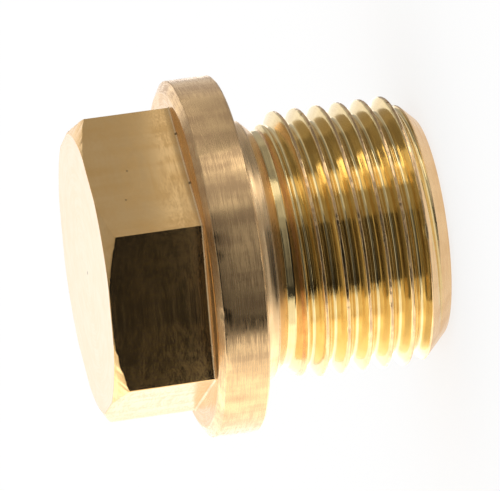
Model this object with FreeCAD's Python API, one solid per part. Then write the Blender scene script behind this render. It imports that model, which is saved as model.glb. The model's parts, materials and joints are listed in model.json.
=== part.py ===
"""Hexagon head pipe plug with a collar, in brass, with a G 3/8 parallel pipe thread.

The plug stands on the flat end of its thread. Millimetres, +Z from the thread end up to the
hexagon head, origin at the centre of the thread's end face.
"""
import FreeCAD
import Part
import math
import os

Vector = FreeCAD.Vector
Vector2d = FreeCAD.Base.Vector2d

# hexagon head, with its corners turned back at the end face
HEX_ACROSS_FLATS = 17.0
HEX_HEIGHT = 6.0
HEX_CORNER_CUT = 1.165
HEX_CHAMFER_ANGLE = 30.0

# collar, with a chamfer towards the head and a small edge break towards the thread
COLLAR_DIAMETER = 22.0
COLLAR_THICKNESS = 3.1
COLLAR_CHAMFER = 0.65
COLLAR_CHAMFER_ANGLE = 30.0
COLLAR_EDGE_BREAK = 0.12

# shank: a shoulder that curves out to the collar, a sloping undercut, then the thread
SHANK_LENGTH = 12.2
SHOULDER_DIAMETER = 16.0
SHOULDER_FILLET = 1.2
UNDERCUT_START = 1.9
UNDERCUT_WIDTH = 0.5
UNDERCUT_DEPTH = 0.93
END_CHAMFER = 1.55

# thread: 19 threads to the inch, 55 degree flanks, right hand
THREAD_DIAMETER = 16.6
THREAD_PITCH = 25.4 / 19
THREAD_ANGLE = 55.0
THREAD_DEPTH = 0.77
CREST_WIDTH = 0.24
CREST_HEIGHT_ON_X = 8.48

# how far the cones that trim the thread's ends reach past its crests; they slope at 45 degrees
TRIM_REACH = 0.6

TURN = 2 * math.pi

# places that follow from the sizes
sealing_face_z = SHANK_LENGTH
head_face_z = sealing_face_z + COLLAR_THICKNESS
top_z = head_face_z + HEX_HEIGHT
collar_radius = COLLAR_DIAMETER / 2
crest_radius = THREAD_DIAMETER / 2
root_radius = crest_radius - THREAD_DEPTH
end_radius = crest_radius - END_CHAMFER
shoulder_radius = SHOULDER_DIAMETER / 2
undercut_radius = crest_radius - UNDERCUT_DEPTH
undercut_z = sealing_face_z - UNDERCUT_START
run_out_z = undercut_z - UNDERCUT_WIDTH


def tan_of(degrees):
    return math.tan(math.radians(degrees))


def lines(points):
    """Straight edges through (radius, height) points."""
    return Part.makePolygon([Vector(radius, 0, z) for radius, z in points]).Edges


def inner_fillet(corner_radius, corner_z, size):
    """The quarter arc between a wall that comes up to a corner and the face that leaves it."""
    sag = size * (1 - math.cos(math.pi / 4))
    start = Vector(corner_radius, 0, corner_z - size)
    middle = Vector(corner_radius + sag, 0, corner_z - sag)
    end = Vector(corner_radius + size, 0, corner_z)
    return Part.Arc(start, middle, end).toShape()


def turned(edges):
    """The solid that a closed outline makes when it turns about Z."""
    face = Part.Face(Part.Wire(edges))
    return face.revolve(Vector(0, 0, 0), Vector(0, 0, 1), 360)


def cylinder_of(radius):
    cylinder = Part.Cylinder()
    cylinder.Radius = radius
    return cylinder


def drawn_on(cylinder, places):
    """Edges on a cylinder: straight lines between (angle, height) places on its unrolled wall."""
    flat = [Vector2d(angle, z) for angle, z in places]
    return [Part.Geom2d.Line2dSegment(a, b).toShape(cylinder) for a, b in zip(flat, flat[1:])]


def helix_turn(radius, start_z):
    """One turn of a right-hand helix that starts on +X."""
    ends = [(0, start_z), (TURN, start_z + THREAD_PITCH)]
    return drawn_on(cylinder_of(radius), ends)[0]


def thread_strip(lower, upper):
    """One turn of the thread's wall between two (radius, height) points of its profile."""
    radius, low_z = lower
    upper_radius, high_z = upper
    if radius != upper_radius:
        return Part.makeRuledSurface(helix_turn(*lower), helix_turn(*upper))
    cylinder = cylinder_of(radius)
    start = [(0, high_z), (0, low_z)]
    end = [(TURN, low_z + THREAD_PITCH), (TURN, high_z + THREAD_PITCH)]
    return Part.Face(cylinder, Part.Wire(drawn_on(cylinder, start + end + start[:1])))


def thread_profile():
    """One pitch of the thread, from the foot of one ridge up to the foot of the next."""
    half_crest = CREST_WIDTH / 2
    half_foot = half_crest + THREAD_DEPTH * tan_of(THREAD_ANGLE / 2)
    return [
        (root_radius, -half_foot),
        (crest_radius, -half_crest),
        (crest_radius, half_crest),
        (root_radius, half_foot),
        (root_radius, THREAD_PITCH - half_foot),
    ]


def raised(shape, turns):
    copy = shape.copy()
    copy.translate(Vector(0, 0, turns * THREAD_PITCH))
    return copy


def threaded_rod(low_z, high_z):
    """A screw-shaped rod that reaches past both heights, with a crest at its set height on +X.

    Strips of crest, flank and root wind round it. Each end is closed by a strip from the axis
    to the outermost helix, and by the flat face of one pitch of the profile.
    """
    turns_below = math.ceil((CREST_HEIGHT_ON_X - low_z) / THREAD_PITCH) + 1
    turns = math.ceil((high_z - low_z) / THREAD_PITCH) + 3
    first_z = CREST_HEIGHT_ON_X - turns_below * THREAD_PITCH
    profile = [(radius, first_z + z) for radius, z in thread_profile()]
    strips = [thread_strip(lower, upper) for lower, upper in zip(profile, profile[1:])]

    foot = Vector(0, 0, profile[0][1])
    head = Vector(0, 0, profile[-1][1])
    end_strip = Part.makeRuledSurface(Part.makeLine(foot, head), helix_turn(*profile[0]))
    corners = [Vector(radius, 0, z) for radius, z in profile]
    end_face = Part.Face(Part.makePolygon([foot] + corners + [head, foot]))

    faces = [raised(strip, turn) for turn in range(turns) for strip in strips]
    faces += [raised(end, turn) for turn in (0, turns) for end in (end_strip, end_face)]
    skin = Part.makeCompound(faces)
    skin.sewShape()
    rod = Part.Solid(skin.Shells[0])
    if rod.Volume < 0:
        rod.reverse()
    return rod


def threaded_shank():
    """The thread, cut to its chamfered end and to the cone where it runs into the undercut."""
    reach = crest_radius + TRIM_REACH
    envelope = turned(lines([
        (0, 0),
        (end_radius, 0),
        (reach, reach - end_radius),
        (reach, run_out_z - (reach - undercut_radius)),
        (undercut_radius, run_out_z),
        (0, run_out_z),
        (0, 0),
    ]))
    return threaded_rod(0, run_out_z).common(envelope)


def collar_and_undercut():
    slope_height = shoulder_radius - undercut_radius
    chamfer_height = COLLAR_CHAMFER * tan_of(COLLAR_CHAMFER_ANGLE)
    shank = lines([
        (0, run_out_z),
        (undercut_radius, run_out_z),
        (undercut_radius, undercut_z),
        (shoulder_radius, undercut_z + slope_height),
        (shoulder_radius, sealing_face_z - SHOULDER_FILLET),
    ])
    fillet = inner_fillet(shoulder_radius, sealing_face_z, SHOULDER_FILLET)
    collar = lines([
        (shoulder_radius + SHOULDER_FILLET, sealing_face_z),
        (collar_radius - COLLAR_EDGE_BREAK, sealing_face_z),
        (collar_radius, sealing_face_z + COLLAR_EDGE_BREAK),
        (collar_radius, head_face_z - chamfer_height),
        (collar_radius - COLLAR_CHAMFER, head_face_z),
        (0, head_face_z),
        (0, run_out_z),
    ])
    return turned(shank + [fillet] + collar)


def hexagon_head():
    corner_radius = HEX_ACROSS_FLATS / math.sqrt(3)
    angles = [TURN * step / 6 for step in range(7)]
    corners = [Vector(corner_radius * math.cos(a), corner_radius * math.sin(a), head_face_z) for a in angles]
    prism = Part.Face(Part.makePolygon(corners)).extrude(Vector(0, 0, HEX_HEIGHT))
    cut_height = HEX_CORNER_CUT * tan_of(HEX_CHAMFER_ANGLE)
    chamfered = turned(lines([
        (0, head_face_z),
        (corner_radius, head_face_z),
        (corner_radius, top_z - cut_height),
        (corner_radius - HEX_CORNER_CUT, top_z),
        (0, top_z),
        (0, head_face_z),
    ]))
    return prism.common(chamfered)


def pipe_plug():
    plug = threaded_shank().fuse([collar_and_undercut(), hexagon_head()])
    return plug.removeSplitter().Solids[0]


os.makedirs("parts", exist_ok=True)
pipe_plug().exportStep("parts/plug_body.step")
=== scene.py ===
"""A brass hex head pipe plug in a small white studio.

The plug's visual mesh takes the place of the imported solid, on its thread end, and the camera is turned
on its side as in the photograph. Sizes are in millimetres and angles in degrees until a thing is made.
"""
import cmath
import json
import math
import random

import bmesh
import bpy
import numpy as np
from mathutils import Matrix, Vector


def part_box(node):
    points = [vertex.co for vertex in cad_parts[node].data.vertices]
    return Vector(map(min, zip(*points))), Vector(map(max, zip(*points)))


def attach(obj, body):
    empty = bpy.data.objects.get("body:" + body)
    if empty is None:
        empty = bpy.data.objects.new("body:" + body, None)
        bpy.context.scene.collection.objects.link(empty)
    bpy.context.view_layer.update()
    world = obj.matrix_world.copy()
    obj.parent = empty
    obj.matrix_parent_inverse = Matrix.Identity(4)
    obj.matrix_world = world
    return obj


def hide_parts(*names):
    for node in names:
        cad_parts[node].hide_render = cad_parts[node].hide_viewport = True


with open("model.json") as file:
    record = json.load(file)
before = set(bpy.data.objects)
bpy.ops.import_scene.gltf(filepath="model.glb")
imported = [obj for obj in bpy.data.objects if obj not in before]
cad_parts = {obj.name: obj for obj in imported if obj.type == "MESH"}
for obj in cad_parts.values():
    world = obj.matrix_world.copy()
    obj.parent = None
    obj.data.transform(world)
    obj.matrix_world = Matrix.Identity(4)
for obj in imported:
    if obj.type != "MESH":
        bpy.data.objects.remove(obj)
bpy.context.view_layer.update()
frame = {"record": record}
MM = 0.001
TURN = 2 * math.pi

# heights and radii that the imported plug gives
mounts = {mount["name"]: mount for mount in frame["record"]["mounts"]}
top_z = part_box("plug_body")[1].z / MM
sealing_face_z = mounts["sealing_face"]["pos_m"][2] / MM
crest_radius = mounts["pipe_thread"]["dims"]["r_mm"]
run_out_z = mounts["pipe_thread"]["dims"]["length_mm"]

# hexagon head
HEX_SIDES = 6
HEX_ACROSS_FLATS = 17.0
HEX_HEIGHT = 6.0
HEX_CORNER_CUT = 1.165
HEX_CHAMFER_ANGLE = 30.0
HEX_EDGE_RADIUS = 0.1
HEX_CHAMFER_EDGE = 0.05
HEX_FOOT_FILLET = 0.12
HEX_EDGE_RAGGEDNESS = 0.08
HEX_EDGE_BENDS = 250

# collar
COLLAR_RADIUS = 11.0
COLLAR_CHAMFER = 0.65
COLLAR_CHAMFER_HEIGHT = 0.375
COLLAR_EDGE_BREAK = 0.12
COLLAR_EDGE = 0.045
COLLAR_LIP = 0.5

# shank, with a neck that reaches from the undercut to the outer part of the fillet
END_RADIUS = 6.75
UNDERCUT_RADIUS = 7.37
UNDERCUT_START = 1.9
SHOULDER_RADIUS = 8.0
SHOULDER_FILLET = 1.25
SHANK_EDGE = 0.07
NECK_REACH = 9.2

# thread: pitch, a crest's height on +X, and half a pitch of its section from the crest's middle
THREAD_PITCH = 25.4 / 19
CREST_HEIGHT_ON_X = 8.48
THREAD_SECTION = (
    (0.0, 0.0),
    (0.05, 0.002),
    (0.08, 0.013),
    (0.105, 0.04),
    (0.15, 0.1),
    (0.22, 0.231),
    (0.33, 0.442),
    (0.44, 0.653),
    (0.485, 0.74),
    (0.535, 0.81),
    (0.59, 0.845),
)
THREAD_ROOT = (THREAD_PITCH / 2, 0.856)
THREAD_BLEND = 0.05
CREST_REACH = 0.08
CREST_WEAR = 0.045
CREST_BENDS = 300
THREAD_LOW = 0.5
THREAD_HIGH = 9.95

# how finely the mesh follows the plug: the columns round it, then the rows along it
COLUMNS_PER_FLAT = 50
CORNER_STEPS = 6
ARC_STEPS = 3
WIDE_ARC = 0.3
WIDE_ARC_STEPS = 9
WALL_STEPS = 14
CHAMFER_STEPS = 4
END_EDGE_STEPS = 2
END_FACE_STEPS = 9
LONGEST_RUN = 0.6
EDGE_GUARD = 0.06
SHORTEST_RUN = 3 * EDGE_GUARD
MERGE_REACH = 0.002
SLIVER_WIDTH = 0.001

# how far below the collar's flat its lip takes the finish of the flat
LIP_REACH = 0.01

head_face_z = top_z - HEX_HEIGHT
hex_apothem = HEX_ACROSS_FLATS / 2
hex_end_radius = HEX_ACROSS_FLATS / math.sqrt(3) - HEX_CORNER_CUT
undercut_z = sealing_face_z - UNDERCUT_START
shoulder_z = undercut_z + SHOULDER_RADIUS - UNDERCUT_RADIUS

# nicks: angle and height, the radius of the wall there, half lengths round it and along it, and depth
NICKS = (
    (298.7, 12.2, 11.0, 0.2, 0.15, 0.14),
    (289.5, 12.2, 11.0, 0.18, 0.14, 0.13),
    (286.1, 12.2, 11.0, 0.18, 0.14, 0.13),
    (274.1, 12.2, 11.0, 0.2, 0.15, 0.14),
    (269.7, 14.98, 11.0, 0.2, 0.16, 0.12),
    (320.5, 5.0, 8.3, 0.6, 0.3, 0.3),
    (298.4, 5.85, 8.3, 0.5, 0.12, 0.07),
    (294.7, 2.84, 8.3, 0.45, 0.12, 0.07),
    (290.7, 3.06, 8.3, 0.4, 0.12, 0.07),
    (286.4, 1.6, 8.3, 0.5, 0.14, 0.09),
    (259.2, 4.21, 8.3, 0.2, 0.25, 0.07),
    (257.0, 4.19, 8.3, 0.18, 0.25, 0.06),
    (250.6, 2.42, 8.3, 0.25, 0.14, 0.07),
    (232.6, 4.17, 8.3, 0.4, 0.14, 0.08),
    (216.2, 2.08, 8.3, 0.4, 0.14, 0.08),
    (267.5, 0.75, 7.5, 0.25, 0.15, 0.07),
    (359.0, 7.18, 8.3, 0.25, 0.14, 0.1),
)

# small nicks on the crests, given by their turn of the thread, and on the collar's two edges
SMALL_NICKS = 320
SHARE_ON_CRESTS = 0.8
NICKED_CRESTS = (-5, 0)
NICK_SCATTER = 0.08
NICK_SIZES = (0.08, 0.2)
NICK_STRETCH = (1, 2)
NICK_DEPTH_SHARE = 0.2

# seeds of the random draws
NICK_SEED = 11
RAGGED_SEED = 100

# dark specks: where they lie and how far they reach, their colour, and the share of their reach that
# is fully dark
SPECKS = (
    ((8.69, -1.94, 15.34), 0.13),
    ((6.65, -5.48, 15.34), 0.13),
    ((7.48, -4.05, 18.86), 0.07),
    ((6.33, -6.04, 19.39), 0.07),
    ((0.25, -0.65, 21.3), 0.16),
)
SPECK_COLOUR = (0.2, 0.12, 0.05, 1.0)
SPECK_CORE = 0.5

# the plug's finishes: colour, colour where dull, roughness, (length, width) of the fine and of the
# coarse streaks, and the depth of the fine ones
FINISHES = (
    ("turned brass", (0.92, 0.61, 0.30), (0.64, 0.41, 0.21), (0.16, 0.34), (1.2, 0.05), (5.0, 0.2), 0.003),
    ("smooth brass", (0.86, 0.56, 0.25), (0.80, 0.49, 0.19), (0.17, 0.26), (14.0, 0.08), (40.0, 0.4), 0.001),
    ("threaded brass", (0.84, 0.65, 0.32), (0.77, 0.57, 0.26), (0.1, 0.18), (3.0, 0.04), (12.0, 0.1), 0.002),
    # the faced brass on both end faces is paler than the rest: partly brass tone, partly a painted highlight
    # that whitens the lit end face
    ("faced brass with painted highlight", (0.88, 0.72, 0.52), (0.86, 0.69, 0.48), (0.3, 0.36), (5.0, 0.1), (20.0, 0.4), 0.0005),
    ("shoulder brass", (0.88, 0.61, 0.33), (0.80, 0.53, 0.27), (0.26, 0.36), (5.0, 0.1), (20.0, 0.4), 0.001),
)
TURNED, SMOOTH, THREADED, FACED_WITH_PAINTED_HIGHLIGHT, CURVED = range(len(FINISHES))

# how the brass varies: its noise, the shares in which marks and tone are mixed, and the ranges of
# noise over which it goes from clean to dull and from smooth to rough
BLOTCH_SIZE = 1.6
BAND_WIDTH = 0.9
BAND_STRETCH = 0.06
BAND_DETAIL = 2.0
NOISE_DETAIL = 3.0
STREAK_ROUGHNESS = 0.6
COARSE_SHARE = 0.3
BAND_SHARE = 0.5
TONE_SHARE = 0.6
DULL_RANGE = (0.42, 0.58)
MARK_GRIP = 0.6
DULL_GRIP = 0.1
GRIP_RANGE = (0.3, 0.4)

# the photograph's view
CAMERA_TARGET = (0.292, 0.1, 11.01)
CAMERA_DISTANCE = 371.0
CAMERA_AZIMUTH = -71.11
CAMERA_ELEVATION = 9.605
CAMERA_ROLL = 97.96
CAMERA_LENS = 435.9
CAMERA_SENSOR = 36.0
CAMERA_NEAR = 10.0

# the white floor, and the soft box behind the plug
WHITE = (1.0, 1.0, 1.0, 1.0)
FLOOR_REACH = 3000.0
FLOOR_SHADOW_SHARE = 0.25
BOX_ELEVATION = 20.0
BOX_DISTANCE = 500.0
BOX_SIZE = 400.0
BOX_POWER = 0.08

# rings of glowing cards round the plug, seen only in its reflections, that paint bright and dark
# reflections on it: the (distance, height) of a ring's near and far edge, the sides where its cards meet,
# from the camera's, and the brightness they paint. From the nearest out, two rings paint the thread's
# flanks and the shoulder, two the thread, and one each the rim, the hexagon's foot and the hexagon.
PAINTED_REFLECTION_RINGS = (
    ((9.3, 0.2), (12.5, 0.3), (-160, -50, 15, 36, 55, 100, 138), (1.15, 0.18, 0.36, 1.0, 0.26, 0.45)),
    ((12.5, 0.3), (17, 0.4), (-160, -48, 15, 47, 66, 100, 138), (1.5, 0.6, 0.4, 3.0, 0.35, 0.5)),
    ((17, 0.4), (19.6, 3), (-160, -70, -39, 14, 35, 53, 100, 138), (1.9, 1.2, 0.1, 0.36, 1.7, 0.24, 0.45)),
    ((19.6, 3), (23.6, 7), (-160, -70, -46, 14, 38, 57, 100, 138), (1.9, 1.2, 0.01, 0.36, 1.2, 0.24, 0.45)),
    ((23.6, 7), (28.3, 12), (-160, -70, -43.5, -33, -18, 0, 23.2, 42.4, 54.6, 68, 100, 138),
     (1.5, 1.15, 0.05, 0.17, 0.28, 0.36, 0.68, 1.3, 0.38, 0.5, 0.65)),
    ((28.3, 12), (29.5, 13.3), (-160, -55, 22, 60, 100, 138), (1.5, 0.015, 0.5, 1.0, 0.5)),
    ((29.5, 13.3), (75, 60), (-160, -55, 22, 60, 100, 138), (1.5, 0.015, 0.5, 0.42, 0.5)),
)

# glowing cards behind and above that paint reflections: first and last side, (distance, height) of both
# edges, and brightness
PAINTED_REFLECTION_CARDS = (
    (138, 200, (17, 0.4), (75, 10), 1.7),
    (0, 180, (0, 110), (130, 110), 0.4),
    (-180, 0, (0, 110), (40, 110), 0.3),
    (-70, 40, (0, 108), (90, 108), 0.15),
    (-200, -60, (75, 60), (90, 110), 2.0),
)
CARD_STEPS = 24


def direction(azimuth, elevation):
    a = math.radians(azimuth)
    e = math.radians(elevation)
    return Vector((math.cos(e) * math.cos(a), math.cos(e) * math.sin(a), math.sin(e)))


def hexagon_columns():
    """The angle of each column of the mesh, and how far the round-cornered hexagon reaches there."""
    half_angle = 180 / HEX_SIDES
    inner = hex_apothem - HEX_EDGE_RADIUS
    corner = inner / math.cos(math.radians(half_angle))
    half_flat = inner * math.tan(math.radians(half_angle))
    swing = np.radians(np.linspace(-half_angle, half_angle, CORNER_STEPS + 1))
    arc = corner + HEX_EDGE_RADIUS * np.exp(1j * swing)
    along = np.linspace(-half_flat, half_flat, COLUMNS_PER_FLAT + 1)[1:-1]
    flat = (hex_apothem + 1j * along) * cmath.exp(1j * math.radians(half_angle))
    sixth = np.concatenate([arc, flat])
    outline = np.concatenate([sixth * cmath.exp(1j * TURN * k / HEX_SIDES) for k in range(HEX_SIDES)])
    angles = np.angle(outline) % TURN
    order = np.argsort(angles)
    return angles[order], abs(outline)[order]


column_angles, hex_reach = hexagon_columns()
column_count = len(column_angles)


def ring(radius, height):
    """A row of the mesh: the radius and height of its point in every column."""
    return np.array([radius + 0 * column_angles, height + 0 * column_angles])


def between(first, last, steps):
    """Rows that divide the way from one row to another, without those two."""
    return [first + (last - first) * step / steps for step in range(1, steps)]


def corner_arc(before, corner, after, size):
    """Points of the arc that rounds a corner of a section. A point is radius + height * 1j."""
    u = (before - corner) / abs(before - corner)
    v = (after - corner) / abs(after - corner)
    half = abs(cmath.phase(v / u)) / 2
    centre = corner + (u + v) / abs(u + v) * size / math.sin(half)
    start = corner + u * size / math.tan(half) - centre
    end = corner + v * size / math.tan(half) - centre
    steps = ARC_STEPS if size < WIDE_ARC else WIDE_ARC_STEPS
    turn = cmath.phase(end / start)
    return [centre + start * cmath.exp(1j * turn * k / steps) for k in range(steps + 1)]


def divided(start, end):
    """Points between two points of a section, with one close to each end to keep the edges crisp."""
    length = abs(end - start)
    if length < SHORTEST_RUN:
        return []
    steps = math.ceil(length / LONGEST_RUN)
    places = [EDGE_GUARD / length] + [k / steps for k in range(1, steps)] + [1 - EDGE_GUARD / length]
    return [start + (end - start) * place for place in places]


def turned_rows(corners):
    """Rows along a turned section given by (radius, height, rounding) corners."""
    spots = [complex(radius, height) for radius, height, size in corners]
    points = [spots[0]]
    for before, spot, after, corner in zip(spots, spots[1:], spots[2:], corners[1:]):
        points += corner_arc(before, spot, after, corner[2])
    points.append(spots[-1])
    full = [points[0]]
    for start, end in zip(points, points[1:]):
        full += divided(start, end) + [end]
    return [ring(point.real, point.imag) for point in full]


def end_rows():
    """The thread end's face and the foot of its chamfer."""
    low_radius = END_RADIUS + THREAD_LOW
    return turned_rows([(0, 0, 0), (END_RADIUS, 0, SHANK_EDGE), (low_radius, THREAD_LOW, 0)])


def collar_rows():
    """The undercut and shoulder, the sealing face, the rim and the chamfer towards the head."""
    return turned_rows([
        (UNDERCUT_RADIUS, THREAD_HIGH, 0),
        (UNDERCUT_RADIUS, undercut_z, SHANK_EDGE),
        (SHOULDER_RADIUS, shoulder_z, SHANK_EDGE),
        (SHOULDER_RADIUS, sealing_face_z, SHOULDER_FILLET),
        (COLLAR_RADIUS - COLLAR_EDGE_BREAK, sealing_face_z, COLLAR_EDGE),
        (COLLAR_RADIUS, sealing_face_z + COLLAR_EDGE_BREAK, COLLAR_EDGE),
        (COLLAR_RADIUS, head_face_z - COLLAR_CHAMFER_HEIGHT, COLLAR_EDGE),
        (COLLAR_RADIUS - COLLAR_CHAMFER, head_face_z, COLLAR_LIP),
        (COLLAR_RADIUS - COLLAR_CHAMFER - SHORTEST_RUN, head_face_z, 0),
    ])


def arc_rows(centre, size, start, end, steps):
    """Rows along an arc in the section, between two angles from the outward direction towards +Z."""
    angles = np.radians(np.linspace(start, end, steps + 1))
    return [centre + size * np.array([[math.cos(a)], [math.sin(a)]]) for a in angles]


def head_rows():
    """The hexagon's foot, its wall, its turned chamfer and its end face, in that order."""
    slope = math.radians(HEX_CHAMFER_ANGLE)
    size = HEX_CHAMFER_EDGE
    edge_z = top_z - (size + (hex_reach - size - hex_end_radius) * math.sin(slope)) / math.cos(slope)
    edge_z = edge_z - HEX_EDGE_RAGGEDNESS * ragged(HEX_EDGE_BENDS, 0)
    wall_edge = np.array([hex_reach - size, np.minimum(edge_z, top_z - size)])
    face_radius = hex_end_radius - size * (1 - math.cos(slope)) / math.sin(slope)
    face_edge = np.array([np.minimum(face_radius, hex_reach - size), top_z - size + 0 * hex_reach])

    fillet = HEX_FOOT_FILLET
    fillet_centre = np.array([hex_reach + fillet, head_face_z + fillet + 0 * hex_reach])
    foot = arc_rows(fillet_centre, fillet, 270, 180, ARC_STEPS)
    outer_edge = arc_rows(wall_edge, size, 0, 90 - HEX_CHAMFER_ANGLE, ARC_STEPS)
    inner_edge = arc_rows(face_edge, size, 90 - HEX_CHAMFER_ANGLE, 90, END_EDGE_STEPS)
    wall = between(foot[-1], outer_edge[0], WALL_STEPS)
    chamfer = between(outer_edge[-1], inner_edge[0], CHAMFER_STEPS)
    guard = inner_edge[-1] - np.array([[EDGE_GUARD], [0]])
    face = [guard] + between(guard, ring(0, top_z), END_FACE_STEPS) + [ring(0, top_z)]
    return foot, wall + outer_edge, chamfer + inner_edge, face


def ragged(bends, seed):
    """A random line round the plug, from 0 to 1, with a number of bends of which few go high."""
    heights = np.random.default_rng(RAGGED_SEED + seed).random(bends) ** 3
    return np.interp(column_angles / TURN * bends, np.arange(bends), heights)


def soft_minimum(a, b, reach):
    """The smaller of two lengths, with the crossing rounded off where they are within reach."""
    near = np.maximum(reach - abs(a - b), 0) / reach
    return np.minimum(a, b) - near * near * reach / 4


def thread_radius(rise, height):
    """Radius of the thread's wall: its own section, cut by the end chamfer and by the run-out."""
    across = abs((rise + THREAD_PITCH / 2) % THREAD_PITCH - THREAD_PITCH / 2)
    places, depths = zip(*THREAD_SECTION, THREAD_ROOT)
    thread = crest_radius - np.interp(across, places, depths)
    end_cone = END_RADIUS + height
    run_out = -soft_minimum(height - run_out_z, 0, THREAD_BLEND) + UNDERCUT_RADIUS
    return soft_minimum(soft_minimum(thread, end_cone, THREAD_BLEND), run_out, THREAD_BLEND)


def thread_rows():
    """Rows that climb along the helix between the thread's end rings, and each one's place in a pitch.

    They start and stop whole turns outside, since a row climbs by a pitch on its way round.
    """
    half = [place for place, depth in THREAD_SECTION]
    pitch_places = sorted([-place for place in half[1:]] + half + [THREAD_ROOT[0]])
    first_turn = math.floor((THREAD_LOW - CREST_HEIGHT_ON_X) / THREAD_PITCH) - 2
    last_turn = math.ceil((THREAD_HIGH - CREST_HEIGHT_ON_X) / THREAD_PITCH) + 1
    climb = THREAD_PITCH * column_angles / TURN
    rows = []
    for turn in range(first_turn, last_turn + 1):
        worn_crest = crest_radius - CREST_WEAR * ragged(CREST_BENDS, turn)
        for place in pitch_places:
            rise = turn * THREAD_PITCH + place
            height = np.clip(CREST_HEIGHT_ON_X + rise + climb, THREAD_LOW, THREAD_HIGH)
            radius = thread_radius(height - CREST_HEIGHT_ON_X - climb, height)
            rows.append(np.array([np.minimum(radius, worn_crest), height]))
    return rows, pitch_places


def small_nicks():
    """Fine nicks along the thread's crests and the collar's two edges, in the form of NICKS."""
    dice = random.Random(NICK_SEED)
    nicks = []
    for _ in range(SMALL_NICKS):
        angle = dice.uniform(0, 360)
        size = dice.uniform(*NICK_SIZES)
        if dice.random() < SHARE_ON_CRESTS:
            turn = dice.randint(*NICKED_CRESTS)
            crest_z = CREST_HEIGHT_ON_X + (turn + angle / 360) * THREAD_PITCH
            place = (crest_z + dice.uniform(-NICK_SCATTER, NICK_SCATTER), crest_radius)
        else:
            place = (dice.choice((sealing_face_z, head_face_z - COLLAR_CHAMFER_HEIGHT)), COLLAR_RADIUS)
        nicks.append((angle, *place, size * dice.uniform(*NICK_STRETCH), size, size * NICK_DEPTH_SHARE))
    return nicks


def nicked(radius, height):
    """The radii with each nick pressed in as a shallow bowl."""
    for angle, nick_z, wall, around, along, depth in NICKS + tuple(small_nicks()):
        turn = (column_angles - math.radians(angle) + math.pi) % TURN - math.pi
        spread = (turn * wall / around) ** 2 + ((height - nick_z) / along) ** 2
        radius = np.where(spread < 1, np.minimum(radius, wall - depth * (1 - spread)), radius)
    return radius


def turned_finishes(end, thread, collar, foot, wall, chamfer):
    """Where the finishes start on the way up, in (row, finish) pairs. The thread has its own."""
    last_thread = len(end) + len(thread) - 1
    last_foot = last_thread + len(collar) + len(foot)
    end_radii = np.array(end)[:, 0, 0]
    collar_radii, collar_heights = np.array(collar)[:, :, 0].T
    return [
        (0, FACED_WITH_PAINTED_HIGHLIGHT),
        (np.sum(end_radii < END_RADIUS - SHANK_EDGE), CURVED),
        (last_thread, THREADED),
        (last_thread + np.sum(collar_heights < undercut_z + SHANK_EDGE), CURVED),
        (last_thread + np.sum(collar_radii < NECK_REACH), TURNED),
        (last_thread + np.sum(collar_heights < head_face_z - LIP_REACH), CURVED),
        (last_foot, SMOOTH),
        (last_foot + 1 + len(wall) + len(chamfer), FACED_WITH_PAINTED_HIGHLIGHT),
    ]


def plug_rows():
    """All rows, their finishes, the first and last row of the thread, and the rows in a pitch."""
    end = end_rows()
    thread, pitch_places = thread_rows()
    collar = collar_rows()
    foot, wall, chamfer, face = head_rows()
    rows = np.array(end + thread + collar + foot + wall + chamfer + face)
    finishes = np.zeros(len(rows), int)
    for start, finish in turned_finishes(end, thread, collar, foot, wall, chamfer):
        finishes[start:] = finish
    first_thread = len(end)
    last_thread = first_thread + len(thread) - 1
    for row in range(first_thread, last_thread):
        place = pitch_places[(row - first_thread) % len(pitch_places)]
        finishes[row] = TURNED if -CREST_REACH <= place < CREST_REACH else THREADED
    return rows, finishes.tolist(), first_thread, last_thread, len(pitch_places)


def plug_faces(rows, row_finishes, on_end_cone, first_thread, last_thread, rows_per_pitch):
    """Quads between each row and the next, and their finishes.

    In the thread each row runs on, after a turn, into the row one pitch further up.
    """
    faces = []
    finishes = []
    for row in range(len(rows) - 1):
        in_thread = first_thread <= row < last_thread
        shift = rows_per_pitch if in_thread else 0
        top_row = last_thread if in_thread else len(rows) - 1
        for column in range(column_count):
            following = (column + 1) % column_count
            lift = shift if following == 0 else 0
            low = min(row + lift, top_row) * column_count + following
            high = min(row + 1 + lift, top_row) * column_count + following
            faces.append((row * column_count + column, low, high, (row + 1) * column_count + column))
            finishes.append(CURVED if in_thread and on_end_cone[row, column] else row_finishes[row])
    return faces, finishes


def plug_mesh():
    """The plug as rows of quads from the middle of its thread end to the middle of its head."""
    rows, row_finishes, first_thread, last_thread, rows_per_pitch = plug_rows()
    height = rows[:, 1]
    radius = nicked(rows[:, 0], height)
    points = np.stack([radius * np.cos(column_angles), radius * np.sin(column_angles), height], axis=2)
    on_end_cone = radius > END_RADIUS + height - THREAD_BLEND
    faces, finishes = plug_faces(rows, row_finishes, on_end_cone, first_thread, last_thread, rows_per_pitch)

    mesh = bpy.data.meshes.new("plug")
    mesh.from_pydata(points.reshape(-1, 3) * MM, [], faces)
    mesh.polygons.foreach_set("material_index", finishes)
    work = bmesh.new()
    work.from_mesh(mesh)
    bmesh.ops.remove_doubles(work, verts=work.verts, dist=MERGE_REACH * MM)
    bmesh.ops.dissolve_degenerate(work, edges=work.edges, dist=SLIVER_WIDTH * MM)
    work.to_mesh(mesh)
    work.free()
    mesh.polygons.foreach_set("use_smooth", [True] * len(mesh.polygons))
    return mesh


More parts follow.
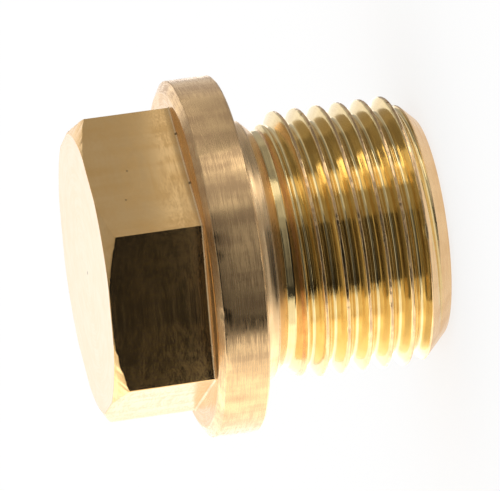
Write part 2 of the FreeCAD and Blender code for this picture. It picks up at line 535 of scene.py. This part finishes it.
class Nodes:
    """A material's node tree, with short calls to add nodes and links."""

    def __init__(self, material):
        material.use_nodes = True
        self.tree = material.node_tree
        self.tree.nodes.clear()

    def add(self, kind, settings=None, **inputs):
        node = self.tree.nodes.new("ShaderNode" + kind)
        for name, value in (settings or {}).items():
            setattr(node, name, value)
        for name, value in inputs.items():
            self.feed(node, name, value)
        return node

    def feed(self, node, name, value):
        """Sets an input to a value, or links it to another node's output."""
        socket = node.inputs[int(name[1:])] if name[1:].isdigit() else node.inputs[name.replace("_", " ")]
        if isinstance(value, bpy.types.NodeSocket):
            self.tree.links.new(value, socket)
        else:
            socket.default_value = value

    def math(self, operation, a, b=0.0):
        return self.add("Math", {"operation": operation}, i0=a, i1=b).outputs[0]

    def blend(self, a, b, share):
        """Two values mixed, with a share of the second."""
        return self.math("ADD", self.math("MULTIPLY", a, 1 - share), self.math("MULTIPLY", b, share))

    def ranged(self, value, low, high, new_low, new_high):
        node = self.add("MapRange", None, Value=value, From_Min=low, From_Max=high,
                        To_Min=new_low, To_Max=new_high)
        return node.outputs["Result"]

    def mixed(self, factor, a, b):
        node = self.add("Mix", {"data_type": "RGBA"}, Factor=factor, i6=a, i7=b)
        return node.outputs[2]


def streaks(nodes, length, width):
    """Noise drawn out along the turning direction: streaks of a length and a width in millimetres."""
    place = nodes.add("TexCoord").outputs["Object"]
    parts = nodes.add("SeparateXYZ", None, Vector=place)
    flat = nodes.add("CombineXYZ", None, X=parts.outputs["X"], Y=parts.outputs["Y"]).outputs[0]
    radius = nodes.add("VectorMath", {"operation": "LENGTH"}, i0=flat).outputs["Value"]
    heading = nodes.add("VectorMath", {"operation": "NORMALIZE"}, i0=flat).outputs[0]
    turns = COLLAR_RADIUS / length
    around = nodes.add("VectorMath", {"operation": "SCALE"}, i0=heading, Scale=turns).outputs[0]
    heading_parts = nodes.add("SeparateXYZ", None, Vector=around)
    across = 1 / (width * MM)
    level = nodes.math("MULTIPLY", parts.outputs["Z"], across)
    point = nodes.add("CombineXYZ", None, X=heading_parts.outputs["X"], Y=heading_parts.outputs["Y"], Z=level)
    reach = nodes.math("MULTIPLY", radius, across)
    noise = nodes.add("TexNoise", {"noise_dimensions": "4D"}, Vector=point.outputs[0], W=reach,
                      Scale=1.0, Detail=NOISE_DETAIL, Roughness=STREAK_ROUGHNESS)
    return noise.outputs["Fac"]


def blotches(nodes, size):
    """Noise with blotches of a size in millimetres."""
    place = nodes.add("TexCoord").outputs["Object"]
    noise = nodes.add("TexNoise", None, Vector=place, Scale=1 / (size * MM), Detail=NOISE_DETAIL)
    return noise.outputs["Fac"]


def bands(nodes, width):
    """Noise drawn out along the plug's axis: bands of a width in millimetres."""
    place = nodes.add("TexCoord").outputs["Object"]
    stretch = (1.0, 1.0, BAND_STRETCH)
    drawn = nodes.add("VectorMath", {"operation": "MULTIPLY"}, i0=place, i1=stretch).outputs[0]
    noise = nodes.add("TexNoise", None, Vector=drawn, Scale=1 / (width * MM), Detail=BAND_DETAIL)
    return noise.outputs["Fac"]


def specks(nodes):
    """How far into the nearest speck a point is, from 0 to 1."""
    place = nodes.add("TexCoord").outputs["Object"]
    nearest = 1.0
    for spot, reach in SPECKS:
        centre = tuple(length * MM for length in spot)
        distance = nodes.add("VectorMath", {"operation": "DISTANCE"}, i0=place, i1=centre).outputs["Value"]
        nearest = nodes.math("MINIMUM", nodes.math("DIVIDE", distance, reach * MM), nearest)
    return nodes.ranged(nearest, SPECK_CORE, 1.0, 1.0, 0.0)


def brass(name, colour, dull_colour, roughness, fine, coarse, depth):
    """Bare brass with tool marks, along which it goes from smooth to rough and from clean to dull."""
    material = bpy.data.materials.new(name)
    nodes = Nodes(material)
    fine_marks = streaks(nodes, *fine)
    coarse_marks = streaks(nodes, *coarse)
    marks = nodes.blend(fine_marks, coarse_marks, COARSE_SHARE)
    tone = nodes.blend(blotches(nodes, BLOTCH_SIZE), bands(nodes, BAND_WIDTH), BAND_SHARE)
    dullness = nodes.blend(marks, tone, TONE_SHARE)
    dullness = nodes.ranged(dullness, *DULL_RANGE, 0.0, 1.0)
    shade = nodes.mixed(dullness, colour + (1.0,), dull_colour + (1.0,))
    shade = nodes.mixed(specks(nodes), shade, SPECK_COLOUR)
    bump = nodes.add("Bump", None, Strength=1.0, Distance=depth * MM, Height=fine_marks)
    mark_grip = nodes.math("MULTIPLY", marks, MARK_GRIP)
    grip = nodes.math("ADD", mark_grip, nodes.math("MULTIPLY", dullness, DULL_GRIP))
    shader = nodes.add("BsdfPrincipled", None, Base_Color=shade, Metallic=1.0,
                       Roughness=nodes.ranged(grip, *GRIP_RANGE, *roughness), Normal=bump.outputs[0])
    nodes.add("OutputMaterial", None, Surface=shader.outputs[0])
    return material


def white_where_seen(material, shadow_share):
    """White to the camera and in reflections, with a share of real shading that keeps the shadow."""
    nodes = Nodes(material)
    path = nodes.add("LightPath").outputs
    seen = nodes.math("MAXIMUM", path["Is Camera Ray"], path["Is Glossy Ray"])
    seen = nodes.math("MAXIMUM", seen, path["Is Transmission Ray"])
    paper = nodes.add("BsdfDiffuse", None, Color=WHITE)
    glow = nodes.add("Emission", None, Color=WHITE, Strength=1.0)
    share = nodes.math("MULTIPLY", seen, 1 - shadow_share)
    mix = nodes.add("MixShader", None, i0=share, i1=paper.outputs[0], i2=glow.outputs[0])
    nodes.add("OutputMaterial", None, Surface=mix.outputs[0])


def new_object(name, data):
    """An object that is linked into the scene."""
    thing = bpy.data.objects.new(name, data)
    bpy.context.scene.collection.objects.link(thing)
    return thing


def stage_sheet(name, points, faces, material):
    """A sheet of the studio, which isn't part of the plug."""
    mesh = bpy.data.meshes.new(name)
    mesh.from_pydata(points, [], faces)
    mesh.materials.append(material)
    sheet = new_object(name, mesh)
    return sheet


def build_plug():
    mesh = plug_mesh()
    for finish in FINISHES:
        mesh.materials.append(brass(*finish))
    plug = new_object("plug", mesh)
    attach(plug, "root")
    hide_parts("plug_body")


def build_floor():
    reach = FLOOR_REACH * MM
    corners = [(-reach, -reach, 0), (reach, -reach, 0), (reach, reach, 0), (-reach, reach, 0)]
    material = bpy.data.materials.new("white paper")
    white_where_seen(material, FLOOR_SHADOW_SHARE)
    stage_sheet("floor", corners, [(0, 1, 2, 3)], material)


def build_painted_reflection_card(first_side, last_side, near, far, level):
    """A curved, sloping glowing card that only the plug's reflections see, which paints a reflection on it.

    Its sides are angles round the plug from the camera's, and near and far are the (distance,
    height) of its two long edges.
    """
    sides = np.radians(CAMERA_AZIMUTH + np.linspace(first_side, last_side, CARD_STEPS + 1))
    edges = [(distance * MM, height * MM) for distance, height in (near, far)]
    points = [(reach * math.cos(a), reach * math.sin(a), height) for a in sides for reach, height in edges]
    faces = [(2 * k, 2 * k + 2, 2 * k + 3, 2 * k + 1) for k in range(CARD_STEPS)]
    material = bpy.data.materials.new("painted_reflection_card")
    nodes = Nodes(material)
    glow = nodes.add("Emission", None, Color=WHITE, Strength=level)
    nodes.add("OutputMaterial", None, Surface=glow.outputs[0])
    painted_reflection_card = stage_sheet("painted_reflection_card", points, faces, material)
    painted_reflection_card.visible_camera = False
    painted_reflection_card.visible_diffuse = False
    painted_reflection_card.visible_shadow = False


def build_back_box():
    """A square soft box behind the plug that faces it."""
    lamp = bpy.data.lights.new("back_box", "AREA")
    lamp.size = BOX_SIZE * MM
    lamp.energy = BOX_POWER
    holder = new_object("back_box", lamp)
    towards = direction(CAMERA_AZIMUTH + 180, BOX_ELEVATION)
    holder.location = towards * BOX_DISTANCE * MM + Vector(CAMERA_TARGET) * MM
    holder.rotation_euler = towards.to_track_quat("Z", "Y").to_euler()
    holder.visible_camera = False


def build_world():
    world = bpy.data.worlds.new("studio")
    bpy.context.scene.world = world
    world.use_nodes = True
    background = world.node_tree.nodes["Background"]
    background.inputs["Color"].default_value = WHITE
    background.inputs["Strength"].default_value = 1.0


def build_studio():
    build_world()
    build_floor()
    # glowing cards that only reflections see paint the plug's bright and dark reflections
    for near, far, sides, painted_reflection_levels in PAINTED_REFLECTION_RINGS:
        for first_side, last_side, level in zip(sides, sides[1:], painted_reflection_levels):
            build_painted_reflection_card(first_side, last_side, near, far, level)
    for painted_reflection_card in PAINTED_REFLECTION_CARDS:
        build_painted_reflection_card(*painted_reflection_card)
    build_back_box()


def build_camera():
    camera = bpy.data.cameras.new("camera")
    camera.sensor_width = CAMERA_SENSOR
    camera.lens = CAMERA_LENS
    camera.clip_start = CAMERA_NEAR * MM
    holder = new_object("camera", camera)
    back = direction(CAMERA_AZIMUTH, CAMERA_ELEVATION)
    level_right = Vector((0, 0, 1)).cross(back).normalized()
    level_up = back.cross(level_right)
    roll = math.radians(CAMERA_ROLL)
    right = level_right * math.cos(roll) - level_up * math.sin(roll)
    up = level_up * math.cos(roll) + level_right * math.sin(roll)
    pose = Matrix((right, up, back)).transposed().to_4x4()
    pose.translation = (Vector(CAMERA_TARGET) + back * CAMERA_DISTANCE) * MM
    holder.matrix_world = pose
    bpy.context.scene.camera = holder


bpy.context.scene.view_settings.view_transform = "Standard"
build_camera()
build_plug()
build_studio()
